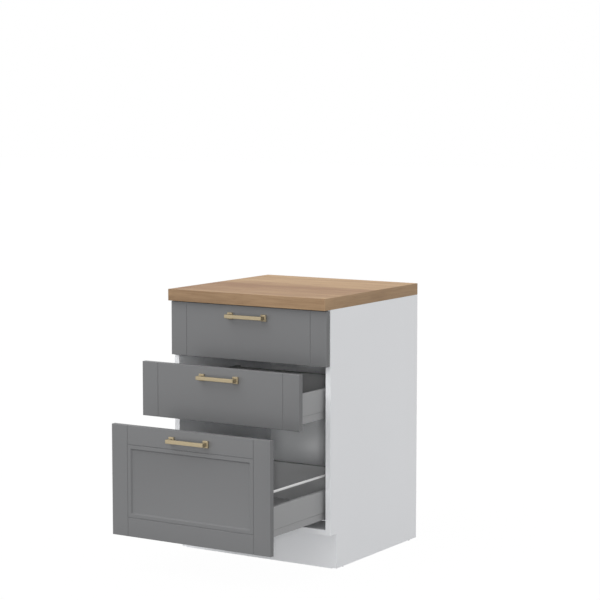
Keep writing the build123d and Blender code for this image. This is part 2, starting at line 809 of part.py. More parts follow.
def make_rear_brackets(key, box_z, y_end, z_high):
    """Plates behind the back board, folded forward into the double walls."""
    z_low = box_z + runner_lift + runner_height + bracket_margin
    z_tongue = box_z + side_height - bracket_margin
    x_low = x_wall - rear_bracket_reach
    x_plate = x_wall + side_sheet
    x_screw = x_wall - rear_bracket_reach / 2
    with BuildPart() as rear_brackets:
        for hand in HANDS.values():
            with BuildSketch(Plane.XZ.offset(-y_end)):
                with Locations((hand * (x_low + x_side) / 2, (z_low + z_high) / 2)):
                    Rectangle(x_side - x_low, z_high - z_low)
            extrude(amount=-bracket_plate)
        top_corners = rear_brackets.edges().filter_by(Axis.Y).group_by(Axis.Z)[-1]
        fillet(top_corners, rear_bracket_corner)
        for hand in HANDS.values():
            with BuildSketch(Plane.XY.offset(z_low)):
                with Locations(
                    (hand * (x_plate + bracket_plate / 2), y_end - front_bracket_reach / 2)
                ):
                    Rectangle(bracket_plate, front_bracket_reach)
            extrude(amount=z_tongue - z_low)
        with BuildSketch(Plane.XZ.offset(-y_end)):
            with Locations(*[(hand * x_screw, z) for hand in HANDS.values() for z in bracket_screw_zs(box_z)]):
                Circle(drawer_screw_diameter / 2 + fitting_clearance)
        extrude(amount=-bracket_plate, mode=Mode.SUBTRACT)
    finish(rear_brackets, f"rear_brackets_{key}")


def make_bracket_screws(key, box_z, y_box, y_end):
    x_screw = x_wall - rear_bracket_reach / 2
    with BuildPart() as bracket_screws:
        for hand in HANDS.values():
            for z in bracket_screw_zs(box_z):
                for plane in (
                    Plane((hand * x_cavity, y_box + bracket_plate, z), z_dir=(0, 1, 0)),
                    Plane((hand * x_screw, y_end + bracket_plate, z), z_dir=(0, 1, 0)),
                ):
                    wood_screw(
                        plane,
                        wood_screw_head_diameter,
                        wood_screw_head_height,
                        drawer_screw_diameter,
                        bracket_plate + drawer_screw_grip,
                    )
    finish(bracket_screws, f"bracket_screws_{key}")


def make_gallery_rails(box_z, y_box, y_end):
    """Round rails over the bottom drawer's sides, between a socket at each end."""
    z_rail = box_z + rail_height
    places = [(hand * x_cavity, z_rail) for hand in HANDS.values()]
    with BuildPart() as gallery_rails:
        with BuildSketch(Plane.XZ.offset(-(y_box + socket_floor))):
            with Locations(*places):
                Circle(rail_diameter / 2)
        extrude(amount=-(y_end - y_box - 2 * socket_floor))
    finish(gallery_rails, "gallery_rails")
    with BuildPart() as rail_sockets:
        for y_seat, toward in ((y_box, 1), (y_end, -1)):
            with BuildSketch(Plane.XZ.offset(-y_seat)):
                with Locations(*places):
                    Circle(socket_diameter / 2)
            extrude(amount=-toward * socket_length)
            with BuildSketch(Plane.XZ.offset(-(y_seat + toward * socket_floor))):
                with Locations(*places):
                    Circle(rail_diameter / 2 + rail_clearance)
            extrude(amount=-toward * socket_length, mode=Mode.SUBTRACT)
    finish(rail_sockets, "rail_sockets")


def make_drawer(key, front_z, height, lift, back_height, out):
    box_z = front_z + lift
    y_box = y_shut - out
    y_end = y_box + side_length
    tall = back_height > side_height
    z_handle = front_z + height - (framed_handle_drop if tall else handle_drop)
    z_bracket = box_z + back_height + (socket_diameter if tall else -bracket_margin)
    make_front(key, front_z, height, box_z, y_box, z_handle, tall)
    make_handle(key, y_box - front_thickness, z_handle)
    make_handle_screws(key, y_box, z_handle)
    make_base(key, box_z, y_box)
    make_back(key, box_z, y_end, back_height)
    make_front_brackets(key, box_z, y_box)
    make_rear_brackets(key, box_z, y_end, z_bracket)
    make_bracket_screws(key, box_z, y_box, y_end)
    make_drawer_rails(key, box_z, y_box)
    make_cabinet_rails(key, box_z)
    for side, hand in HANDS.items():
        make_drawer_side(key, hand, side, box_z, y_box)
        make_middle_rail(key, hand, side, box_z, out)
    if tall:
        make_gallery_rails(box_z, y_box, y_end)


make_side_panel(HANDS["left"], "side_panel_left")
make_side_panel(HANDS["right"], "side_panel_right")
make_bottom_panel()
make_back_panel()
make_front_stretcher()
make_rear_stretcher()
make_toe_kick()
make_floor_glides()
make_worktop()
make_worktop_edge_bands()
make_worktop_brackets()
make_worktop_screws()
make_cam_locks()
make_cam_bolts()
make_dowels()
make_runner_screws()
for drawer_key, drawer in DRAWERS.items():
    make_drawer(drawer_key, *drawer)
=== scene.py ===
import math
from collections import namedtuple

import bmesh
import bpy
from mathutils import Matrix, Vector


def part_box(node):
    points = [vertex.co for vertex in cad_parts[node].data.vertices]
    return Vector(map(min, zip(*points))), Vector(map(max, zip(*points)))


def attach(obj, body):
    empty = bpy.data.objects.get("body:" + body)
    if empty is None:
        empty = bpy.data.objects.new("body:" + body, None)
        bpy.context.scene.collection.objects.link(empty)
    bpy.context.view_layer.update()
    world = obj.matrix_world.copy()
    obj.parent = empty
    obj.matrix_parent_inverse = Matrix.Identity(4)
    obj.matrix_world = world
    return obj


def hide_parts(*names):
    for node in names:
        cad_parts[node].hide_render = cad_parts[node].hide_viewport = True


# ---------------------------------------------------------------- the frame and the camera
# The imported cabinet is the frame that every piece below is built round.  The camera stands to
# the right of it at eye height, six and a half metres off, and looks down by six degrees.
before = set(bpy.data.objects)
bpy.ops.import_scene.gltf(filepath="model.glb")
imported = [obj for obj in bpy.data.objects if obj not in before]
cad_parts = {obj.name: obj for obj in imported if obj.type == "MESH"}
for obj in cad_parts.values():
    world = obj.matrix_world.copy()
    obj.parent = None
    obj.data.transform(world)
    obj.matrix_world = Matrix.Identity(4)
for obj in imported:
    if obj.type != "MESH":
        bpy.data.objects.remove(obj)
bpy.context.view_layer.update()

scene = bpy.context.scene
camera_data = bpy.data.cameras.new("camera")
camera_data.sensor_width = 36.0
camera_data.lens = 118.515
camera_data.clip_end = 100.0
camera = bpy.data.objects.new("camera", camera_data)
camera.location = (3.4713, -5.2915, 1.5123)
camera.rotation_euler = (math.radians(83.985), 0.0, math.radians(32.013))
scene.collection.objects.link(camera)
scene.camera = camera
scene.view_settings.view_transform = "Standard"


# ---------------------------------------------------------------- floor and studio light
# Soft light from all round, a broad lamp high at the front left with a weak one low down, and a
# narrow tall one at the front right, in three parts.  The floor is dark for the light and white
# for the camera, and keeps a faint contact shadow.
class Signal:
    """A shader value whose arithmetic adds Math nodes."""

    def __init__(self, finish, socket):
        self.finish, self.socket = finish, socket

    def math(self, operation, first, second=0.0):
        return self.finish.node("ShaderNodeMath", {"operation": operation}, {0: first, 1: second})

    def __add__(self, other):
        return self.math("ADD", self, other)

    def __radd__(self, other):
        return self.math("ADD", other, self)

    def __sub__(self, other):
        return self.math("SUBTRACT", self, other)

    def __rsub__(self, other):
        return self.math("SUBTRACT", other, self)

    def __mul__(self, other):
        return self.math("MULTIPLY", self, other)

    def __gt__(self, other):
        return self.math("GREATER_THAN", self, other)

    def __lt__(self, other):
        return self.math("LESS_THAN", self, other)

    def __abs__(self):
        return self.math("ABSOLUTE", self)


class Finish:
    """A surface finish: a node tree in which every node comes from one method."""

    def __init__(self, name, tree=None):
        if tree is None:
            self.material = bpy.data.materials.new(name)
            self.material.use_nodes = True
            tree = self.material.node_tree
            self.shader = tree.nodes["Principled BSDF"]
        self.tree = tree

    def node(self, kind, settings=None, inputs=None, output=0):
        made = self.tree.nodes.new(kind)
        for key, value in (settings or {}).items():
            setattr(made, key, value)
        for key, value in (inputs or {}).items():
            self.feed(made.inputs[key], value)
        return Signal(self, made.outputs[output])

    def feed(self, socket, value):
        if isinstance(value, Signal):
            self.tree.links.new(value.socket, socket)
        elif socket.type == "RGBA" and len(value) == 3:
            socket.default_value = (*value, 1.0)
        else:
            socket.default_value = value

    def set(self, **sockets):
        """Feed the shader's sockets, named with underscores for spaces."""
        for name, value in sockets.items():
            self.feed(self.shader.inputs[name.replace("_", " ")], value)
        return self.material

    def place(self):
        return self.node("ShaderNodeTexCoord", output="Object")

    def axes(self):
        """The three object coordinates, as separate numbers."""
        split = self.node("ShaderNodeSeparateXYZ", inputs={0: self.place()}).socket.node
        return [Signal(self, socket) for socket in split.outputs]

    def seen_by(self, *rays):
        """1 for what any of these kinds of light ray meets, else 0."""
        path = self.node("ShaderNodeLightPath").socket.node
        seen, *others = [Signal(self, path.outputs[f"Is {ray} Ray"]) for ray in rays]
        for other in others:
            seen = seen.math("MAXIMUM", seen, other)
        return seen

    def noise(self, stretch, detail=3.0, roughness=0.5, distortion=0.0, place=None):
        """Noise over the object or another place, with its scale along each axis."""
        spot = self.node("ShaderNodeMapping", inputs={0: place or self.place(), "Scale": stretch})
        return self.node(
            "ShaderNodeTexNoise",
            inputs={
                "Vector": spot,
                "Scale": 1.0,
                "Detail": detail,
                "Roughness": roughness,
                "Distortion": distortion,
            },
        )

    def blend(self, share, low, high):
        """A colour between two colours."""
        return self.node(
            "ShaderNodeMix", {"data_type": "RGBA"}, {0: share, 6: low, 7: high}, output=2
        )

    def bump(self, height, strength, distance):
        return self.node(
            "ShaderNodeBump", inputs={"Height": height, "Strength": strength, "Distance": distance}
        )


ROOM_LIGHT = 0.885
FLOOR_COLOUR = (0.22, 0.22, 0.22)
FLOOR_SHADOW_SHARE = 0.08
FLOOR_GLOW = 1.07
FLOOR_HALF, FLOOR_DROP = 30.0, 0.0002
WHITE = (1.0, 1.0, 1.0)

world = bpy.data.worlds.new("white room")
world.use_nodes = True
scene.world = world
room = Finish("white room", world.node_tree)
walls = world.node_tree.nodes["Background"].inputs
plainly_seen = room.seen_by("Camera", "Glossy", "Transmission")
room.feed(walls["Color"], WHITE)
room.feed(walls["Strength"], ROOM_LIGHT + plainly_seen * (1.0 - ROOM_LIGHT))

floor_mesh = bpy.data.meshes.new("studio_floor")
floor_mesh.from_pydata(
    [
        (x * FLOOR_HALF, y * FLOOR_HALF, -FLOOR_DROP)
        for x, y in ((-1, -1), (1, -1), (1, 1), (-1, 1))
    ],
    [],
    [(0, 1, 2, 3)],
)
studio_floor = bpy.data.objects.new("studio_floor", floor_mesh)
scene.collection.objects.link(studio_floor)
pale = Finish("studio floor")
pale.set(Base_Color=FLOOR_COLOUR, Roughness=0.9, Specular_IOR_Level=0.0)
glow = pale.node("ShaderNodeEmission", inputs={"Color": WHITE, "Strength": FLOOR_GLOW})
glow_share = pale.seen_by("Camera", "Glossy") * (1.0 - FLOOR_SHADOW_SHARE)
floor_mix = pale.node(
    "ShaderNodeMixShader",
    inputs={0: glow_share, 1: Signal(pale, pale.shader.outputs[0]), 2: glow},
)
pale.feed(pale.tree.nodes["Material Output"].inputs["Surface"], floor_mix)
floor_mesh.materials.append(pale.material)

# each lamp: the way that it lies from the cabinet, its strength, and how many degrees it fills
LAMPS = {
    "high lamp": ((-0.35, -0.55, 0.85), 0.95, 50.0),
    "low lamp": ((-0.60, -0.80, -0.12), 0.27, 16.0),
    "side lamp, foot": ((0.63, -1.00, 0.100), 0.29, 4.0),
    "side lamp, middle": ((0.63, -1.00, 0.185), 0.27, 4.0),
    "side lamp, head": ((0.63, -1.00, 0.300), 0.28, 4.0),
}

# the low lamp gives the light that a bright floor throws up, so the floor lets it through
passed_by_light = bpy.data.collections.new("passed by light")
passed_by_light.objects.link(studio_floor)
passed_by_light.collection_objects[0].light_linking.link_state = "EXCLUDE"
for lamp_name, (lamp_way, lamp_strength, lamp_breadth) in LAMPS.items():
    lamp_data = bpy.data.lights.new(lamp_name, "SUN")
    lamp_data.energy = lamp_strength
    lamp_data.angle = math.radians(lamp_breadth)
    lamp = bpy.data.objects.new(lamp_name, lamp_data)
    lamp.rotation_euler = Vector(lamp_way).to_track_quat("Z", "Y").to_euler()
    lamp.light_linking.blocker_collection = passed_by_light
    scene.collection.objects.link(lamp)


# ---------------------------------------------------------------- white carcass boards
# Sides, bottom, stretchers and toe kick are chipboard faced with white melamine, 18 mm and
# 16 mm thick.  Their cut edges carry a thin white tape whose corners are scraped round.
TAPE_THICKNESS = 0.0008
BOARD_EDGE_RADIUS = 0.0005
# in degrees: faces flatter than the first are one, and edges sharper than the second are eased
FLAT_ANGLE, SHARP_ANGLE = 0.4, 32.0

Corner = namedtuple("Corner", "x y z")


def corners(node):
    """The lowest and highest corners of a CAD node, to a thousandth of a millimetre."""
    return [Corner(*(round(value, 6) for value in corner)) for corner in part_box(node)]


def plain_mesh(piece):
    """Turn a piece with modifiers into a plain mesh."""
    evaluated = piece.evaluated_get(bpy.context.evaluated_depsgraph_get())
    mesh = bpy.data.meshes.new_from_object(evaluated)
    piece.modifiers.clear()
    piece.data = mesh
    mesh.name = piece.name
    return piece


def dress(piece, material, slot, body, *nodes):
    """Give a piece its finish and its body, and let it stand for CAD nodes."""
    piece.data.materials.clear()
    piece.data.materials.append(material)
    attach(piece, body)
    if nodes:
        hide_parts(*nodes)
    return piece


def shade_smooth(mesh, smooth_below):
    """Shade a mesh smooth where its faces meet at less than an angle in degrees."""
    mesh.polygons.foreach_set("use_smooth", [True] * len(mesh.polygons))
    mesh.set_sharp_from_angle(angle=math.radians(smooth_below))


def made_of(name, shape, smooth_below=None):
    """Turn a finished shape into an object."""
    mesh = bpy.data.meshes.new(name)
    shape.to_mesh(mesh)
    shape.free()
    if smooth_below is not None:
        shade_smooth(mesh, smooth_below)
    piece = bpy.data.objects.new(name, mesh)
    scene.collection.objects.link(piece)
    return piece


def eased_copy(node, name, radius, segments=2, smooth_below=None):
    """A copy of a CAD node with its sharp edges taken off."""
    shape = bmesh.new()
    shape.from_mesh(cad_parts[node].data)
    bmesh.ops.remove_doubles(shape, verts=shape.verts, dist=1e-6)
    bmesh.ops.dissolve_limit(
        shape, angle_limit=math.radians(FLAT_ANGLE), verts=shape.verts, edges=shape.edges
    )
    piece = made_of(name, shape)
    if piece.data.has_custom_normals:
        piece.data.attributes.remove(piece.data.attributes["custom_normal"])
    easing = piece.modifiers.new("eased edges", "BEVEL")
    easing.width = radius
    easing.segments = segments
    easing.limit_method = "ANGLE"
    easing.angle_limit = math.radians(SHARP_ANGLE)
    plain_mesh(piece)
    if smooth_below is not None:
        shade_smooth(piece.data, smooth_below)
    return piece


melamine = Finish("white melamine")
carcass_front = corners("side_panel_left")[0].y
tape = melamine.axes()[1] < carcass_front + TAPE_THICKNESS
cloud = melamine.noise((3.0, 3.0, 3.0), detail=2.0)
peel = melamine.noise((900.0, 900.0, 900.0), detail=1.0)
white_melamine = melamine.set(
    Base_Color=melamine.blend(cloud + tape * 0.3, (0.825, 0.835, 0.855), (0.855, 0.865, 0.885)),
    Roughness=0.42 + cloud * 0.06 - tape * 0.08,
    Normal=melamine.bump(peel, 0.05, 0.0002),
    Specular_IOR_Level=0.35,
)

for board in (
    "side_panel_left",
    "side_panel_right",
    "bottom_panel",
    "front_stretcher",
    "rear_stretcher",
    "toe_kick",
):
    eased_board = eased_copy(board, board + "_board", BOARD_EDGE_RADIUS)
    dress(eased_board, white_melamine, "white_melamine", "carcass", board)


# ---------------------------------------------------------------- back panel
# A 3 mm hardboard sheet in grooves of the sides and the bottom, lacquered light grey on the
# inside.  The pressed fibres show as a faint mottle, and the outside keeps its brown mesh side.
BARE_FACE_DEPTH = 0.0002
SHEET_EDGE_RADIUS = 0.0003

hardboard = Finish("lacquered hardboard")
outside = hardboard.axes()[1] > corners("back_panel")[1].y - BARE_FACE_DEPTH
mottle = hardboard.noise((240.0, 240.0, 240.0), detail=4.0, roughness=0.6)
felt = hardboard.noise((1400.0, 1400.0, 1400.0), detail=2.0)
lacquer = hardboard.blend(mottle, (0.89, 0.90, 0.91), (0.92, 0.93, 0.94))
fibre = hardboard.blend(mottle, (0.20, 0.12, 0.065), (0.33, 0.21, 0.125))
grey_hardboard = hardboard.set(
    Base_Color=hardboard.blend(outside, lacquer, fibre),
    Roughness=0.5 + outside * 0.35,
    Normal=hardboard.bump(mottle * 0.4 + felt * 0.6, 0.15, 0.0003),
    Specular_IOR_Level=0.3,
)
dress(
    eased_copy("back_panel", "back_panel_board", SHEET_EDGE_RADIUS, segments=1),
    grey_hardboard,
    "hardboard",
    "carcass",
    "back_panel",
)


# ---------------------------------------------------------------- worktop
# A 38 mm chipboard worktop with an oak laminate on top and oak edging on three sides.  The grain
# runs along the front; the edging's grain runs along each edge, and the rear edge stays raw.
TOP_LIGHT, TOP_DARK = (0.505, 0.345, 0.200), (0.300, 0.178, 0.104)
EDGING_LIGHT, EDGING_DARK = (0.415, 0.273, 0.155), (0.245, 0.150, 0.079)
OAK_PORE = (0.16, 0.09, 0.045)
LAMINATE_THICKNESS, BACKING_THICKNESS = 0.0008, 0.0006
RAW_EDGE_DEPTH = 0.0006
EDGE_BAND_THICKNESS, EDGE_BAND_ROUND = 0.001, 0.0008
EDGE_BAND_MARGIN, EDGE_BAND_SMOOTH_BELOW = 0.0001, 40.0
# the laminate's printed boards, from the front: where a painted highlight along the front edge
# ends and where the first board ends, and how softly; then where each of the others begins, how
# softly, and how much paler it is than the one before
FRONT_EDGE_HIGHLIGHT_END, FIRST_BOARD_END = (-0.045, 0.015), (0.080, 0.035)
# the last of the paler boards is a painted highlight along the rear edge, not a printed board
PALER_BOARDS_AND_REAR_HIGHLIGHT = ((0.245, 0.055, 0.49), (0.385, 0.030, 0.11), (0.492, 0.020, 0.16))
top_low, top_high = corners("worktop")


def oak_colour(oak, along, across, depth, tone, light, dark):
    """Oak figure whose grain runs along one coordinate, from light at tone 0 to dark at 1."""
    spot = oak.node("ShaderNodeCombineXYZ", inputs={0: along, 1: across, 2: depth})
    broad = oak.noise((2.2, 14.0, 14.0), 3.0, 0.55, 0.6, spot)
    figure = oak.noise((5.0, 70.0, 70.0), 4.0, 0.6, 0.9, spot)
    fine = oak.noise((14.0, 300.0, 300.0), 3.0, 0.6, 0.2, spot)
    pores = oak.noise((38.0, 1500.0, 1500.0), 2.0, 0.5, 0.0, spot)
    share = tone + (broad - 0.5) * 1.2 + (figure - 0.5) * 1.1 + (fine - 0.5) * 0.7
    body = oak.blend(share, light, dark)
    pore = (pores > 0.66) * (fine > 0.52) * 0.5
    return oak.blend(pore, body, OAK_PORE), fine, pores


def board_step(oak, where, edge, softness):
    """Rises from 0 to 1 as a coordinate crosses an edge."""
    return oak.node(
        "ShaderNodeMapRange",
        {"interpolation_type": "SMOOTHSTEP"},
        {"Value": where, "From Min": edge - softness, "From Max": edge + softness},
    )


top_oak = Finish("oak laminate")
x_place, y_place, z_place = top_oak.axes()
wander = top_oak.noise((3.0, 1.5, 1.0), detail=2.0)
drift = y_place + (wander - 0.5) * 0.06
behind_first = board_step(top_oak, drift, *FIRST_BOARD_END)
print_and_highlight_tone = 0.77 - x_place * 0.8 * (1.0 - behind_first) + behind_first * 0.15
for edge, softness, paler in PALER_BOARDS_AND_REAR_HIGHLIGHT:
    print_and_highlight_tone = print_and_highlight_tone - board_step(top_oak, drift, edge, softness) * paler
# painted highlight: the top is paler in a strip along its front edge
print_and_highlight_tone = print_and_highlight_tone - (1.0 - board_step(top_oak, y_place, *FRONT_EDGE_HIGHLIGHT_END)) * 0.18
laminate, fine_grain, pore_grain = oak_colour(
    top_oak, x_place, y_place, z_place, print_and_highlight_tone, TOP_LIGHT, TOP_DARK
)
chip = top_oak.noise((260.0, 90.0, 520.0), detail=4.0, roughness=0.65)
chipboard = top_oak.blend(chip, (0.52, 0.38, 0.24), (0.30, 0.19, 0.11))
raw_edge = y_place > top_high.y - RAW_EDGE_DEPTH
underside = z_place < top_low.z + BACKING_THICKNESS
backing = top_oak.blend(underside, laminate, (0.62, 0.60, 0.56))
worktop_oak = top_oak.set(
    Base_Color=top_oak.blend(raw_edge, backing, chipboard),
    Roughness=0.60 + (fine_grain - 0.5) * 0.16 + raw_edge * 0.3,
    Normal=top_oak.bump(fine_grain * 0.5 + pore_grain * 0.5, 0.12, 0.0003),
    Specular_IOR_Level=0.12,
)


def sheet_of_worktop(name, z_low, z_high):
    """One layer of the worktop, between the edge bands."""
    shape = bmesh.new()
    outline = [(top_low.x, top_low.y), (top_high.x, top_low.y)]
    outline += [(top_high.x, top_high.y), (top_low.x, top_high.y)]
    low, high = [[shape.verts.new((x, y, z)) for x, y in outline] for z in (z_low, z_high)]
    shape.faces.new(list(reversed(low)))
    shape.faces.new(high)
    for k in range(len(outline)):
        following = (k + 1) % len(outline)
        shape.faces.new((low[k], low[following], high[following], high[k]))
    return made_of(name, shape)


for layer, z_low, z_high in (
    ("worktop_core", top_low.z + BACKING_THICKNESS, top_high.z - LAMINATE_THICKNESS),
    ("worktop_laminate", top_high.z - LAMINATE_THICKNESS, top_high.z),
    ("worktop_backing", top_low.z, top_low.z + BACKING_THICKNESS),
):
    replaced = ["worktop"] if layer == "worktop_core" else []
    dress(
        sheet_of_worktop(layer, z_low, z_high),
        worktop_oak,
        "worktop_laminate",
        "carcass",
        *replaced,
    )

edge_oak = Finish("oak edging")
x_place, y_place, z_place = edge_oak.axes()
on_side = abs(x_place) > top_high.x - EDGE_BAND_MARGIN
along = x_place + (y_place - x_place) * on_side
across = z_place + (y_place * 0.4) * (1.0 - on_side)
edging_tone = 0.72 - x_place * 0.8 - on_side * 0.12
edging, fine_grain, pore_grain = oak_colour(
    edge_oak, along, across, on_side * 3.0, edging_tone, EDGING_LIGHT, EDGING_DARK
)
edging_oak = edge_oak.set(
    Base_Color=edging,
    Roughness=0.5 + (fine_grain - 0.5) * 0.16,
    Normal=edge_oak.bump(fine_grain * 0.5 + pore_grain * 0.5, 0.12, 0.0003),
    Specular_IOR_Level=0.3,
)


def wrapped_edging():
    """One band wrapped round the left, front and right edges, with its corners rounded."""
    shape = bmesh.new()
    bend = [math.radians(a) for a in range(0, 91, 15)]
    flat = EDGE_BAND_THICKNESS - EDGE_BAND_ROUND
    section = [(0.0, top_low.z)]
    for z_centre, turn in (
        (top_low.z + EDGE_BAND_ROUND, [a - math.pi / 2 for a in bend]),
        (top_high.z - EDGE_BAND_ROUND, bend),
    ):
        for a in turn:
            section.append(
                (flat + EDGE_BAND_ROUND * math.cos(a), z_centre + EDGE_BAND_ROUND * math.sin(a))
            )
    section.append((0.0, top_high.z))
    course = [((top_low.x, top_high.y), math.pi)]
    course += [((top_low.x, top_low.y), math.pi + a) for a in bend]
    course += [((top_high.x, top_low.y), math.pi * 1.5 + a) for a in bend]
    course += [((top_high.x, top_high.y), 0.0)]
    rings = [
        [shape.verts.new((x + d * math.cos(a), y + d * math.sin(a), z)) for d, z in section]
        for (x, y), a in course
    ]
    for ring, following_ring in zip(rings, rings[1:]):
        for k in range(len(section)):
            following = (k + 1) % len(section)
            shape.faces.new(
                (ring[k], ring[following], following_ring[following], following_ring[k])
            )
    shape.faces.new(rings[0])
    shape.faces.new(list(reversed(rings[-1])))
    bmesh.ops.remove_doubles(shape, verts=shape.verts, dist=1e-7)
    bmesh.ops.recalc_face_normals(shape, faces=shape.faces)
    return made_of("worktop_edging", shape, EDGE_BAND_SMOOTH_BELOW)


dress(wrapped_edging(), edging_oak, "edge_band", "carcass", "worktop_edge_bands")


# ---------------------------------------------------------------- carcass fittings and screws
# Angle brackets hold the worktop; cam bolts, cast cams and beech dowels hold the carcass, which
# stands on black glides.  Pan head screws with a cross recess hold the rest.  The plating is a
# dull, slightly cloudy silver.
zinc = Finish("zinc plate")
spangle = zinc.noise((60.0, 60.0, 60.0), detail=3.0, roughness=0.6, distortion=0.8)
drawn = zinc.noise((500.0, 6.0, 500.0), detail=2.0)
zinc_plate = zinc.set(
    Base_Color=zinc.blend(spangle, (0.50, 0.51, 0.53), (0.66, 0.67, 0.69)),
    Metallic=1.0,
    Roughness=0.34 + spangle * 0.14,
    Normal=zinc.bump(drawn, 0.06, 0.0002),
)

cast = Finish("cast zinc")
grit = cast.noise((700.0, 700.0, 700.0), detail=3.0)
cast_zinc = cast.set(
    Base_Color=cast.blend(grit, (0.30, 0.30, 0.31), (0.42, 0.42, 0.43)),
    Metallic=1.0,
    Roughness=0.5 + grit * 0.2,
    Normal=cast.bump(grit, 0.3, 0.0002),
)

timber = Finish("beech dowel")
beech_grain = timber.noise((12.0, 500.0, 500.0), detail=3.0)
beech = timber.set(
    Base_Color=timber.blend(beech_grain, (0.60, 0.42, 0.26), (0.46, 0.30, 0.17)),
    Roughness=0.65,
    Normal=timber.bump(beech_grain, 0.2, 0.0003),
)

rubber = Finish("black glide")
dimple = rubber.noise((400.0, 400.0, 400.0), detail=2.0)
black_glide = rubber.set(
    Base_Color=rubber.blend(dimple, (0.018, 0.018, 0.019), (0.034, 0.034, 0.036)),
    Roughness=0.5 + dimple * 0.15,
    Normal=rubber.bump(dimple, 0.1, 0.0002),
)

for node, material in (
    ("worktop_brackets", zinc_plate),
    ("cam_bolts", zinc_plate),
    ("cam_locks", cast_zinc),
    ("dowels", beech),
    ("floor_glides", black_glide),
):
    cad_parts[node].data.materials.clear()
    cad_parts[node].data.materials.append(material)

# the head's outline, as shares of its radius and its height, and the recess in it
SCREW_SIDES, SHANK_SIDES = 24, 12
SCREW_STEPS = ((1.0, 0.0), (1.0, 0.34), (0.94, 0.62), (0.80, 0.86), (0.60, 1.0))
RECESS_ARM, RECESS_WIDTH, RECESS_DEPTH, RECESS_TAPER = 0.46, 0.13, 0.55, 0.7
HEAD_RADIUS, HEAD_HEIGHT = 0.004, 0.0025
WORKTOP_SCREW_X = 0.180
WORKTOP_BRACKET_PLATE = 0.002


def screw_head():
    """A pan head of radius 1 and height 1 with a cross recess in its crown."""
    shape = bmesh.new()
    turn = [2.0 * math.pi * k / SCREW_SIDES for k in range(SCREW_SIDES)]
    rings = [
        [shape.verts.new((r * math.cos(a), r * math.sin(a), h)) for a in turn]
        for r, h in SCREW_STEPS
    ]
    for low, high in zip(rings, rings[1:]):
        for k in range(SCREW_SIDES):
            following = (k + 1) % SCREW_SIDES
            shape.faces.new((low[k], low[following], high[following], high[k]))
    shape.faces.new(list(reversed(rings[0])))
    arm, half = RECESS_ARM, RECESS_WIDTH
    cross = []
    for c, s in ((1, 0), (0, 1), (-1, 0), (0, -1)):
        for u, v in ((arm, -half), (arm, half), (half, half)):
            cross.append((c * u - s * v, s * u + c * v))
    rim = [shape.verts.new((x, y, 1.0)) for x, y in cross]
    pit = [
        shape.verts.new((x * RECESS_TAPER, y * RECESS_TAPER, 1.0 - RECESS_DEPTH))
        for x, y in cross
    ]
    for k in range(len(rim)):
        following = (k + 1) % len(rim)
        shape.faces.new((rim[following], rim[k], pit[k], pit[following]))
    shape.faces.new(pit)
    shape.edges.ensure_lookup_table()
    crown = [e for e in shape.edges if all(v in rings[-1] for v in e.verts)]
    crown += [e for e in shape.edges if all(v in rim for v in e.verts)]
    bmesh.ops.triangle_fill(shape, edges=crown, use_beauty=True, normal=(0.0, 0.0, 1.0))
    bmesh.ops.recalc_face_normals(shape, faces=shape.faces)
    return made_of("screw_head", shape)


def tree_with(name, sizes):
    """A node tree with a geometry input and named sizes, and what adds nodes and closes it."""
    tree = bpy.data.node_groups.new(name, "GeometryNodeTree")
    tree.interface.new_socket("Geometry", in_out="INPUT", socket_type="NodeSocketGeometry")
    for label, kind in sizes:
        tree.interface.new_socket(label, in_out="INPUT", socket_type=kind)
    tree.interface.new_socket("Geometry", in_out="OUTPUT", socket_type="NodeSocketGeometry")
    entry = tree.nodes.new("NodeGroupInput")
    leave = tree.nodes.new("NodeGroupOutput")

    def add(kind, settings=None, inputs=None):
        made = tree.nodes.new(kind)
        for key, value in (settings or {}).items():
            setattr(made, key, value)
        for key, value in (inputs or {}).items():
            if isinstance(value, bpy.types.NodeSocket):
                tree.links.new(value, made.inputs[key])
            else:
                made.inputs[key].default_value = value
        return made

    def close(geometry):
        real = add("GeometryNodeRealizeInstances", inputs={0: geometry})
        paint = add(
            "GeometryNodeSetMaterial", inputs={0: real.outputs[0], 2: entry.outputs["Material"]}
        )
        tree.links.new(paint.outputs[0], leave.inputs[0])

    return tree, entry.outputs, add, close


def grown(name, tree, points, edges, sizes, directions=None):
    """Run a tree on a few points and keep the result as a plain mesh."""
    mesh = bpy.data.meshes.new(name)
    mesh.from_pydata(points, edges, [])
    if directions:
        toward = mesh.attributes.new("toward", "FLOAT_VECTOR", "POINT")
        toward.data.foreach_set("vector", [c for d in directions for c in d])
    piece = bpy.data.objects.new(name, mesh)
    scene.collection.objects.link(piece)
    growth = piece.modifiers.new(tree.name, "NODES")
    growth.node_group = tree
    for item in tree.interface.items_tree:
        if item.in_out == "INPUT" and item.name in sizes:
            growth[item.identifier] = sizes[item.name]
    return plain_mesh(piece)


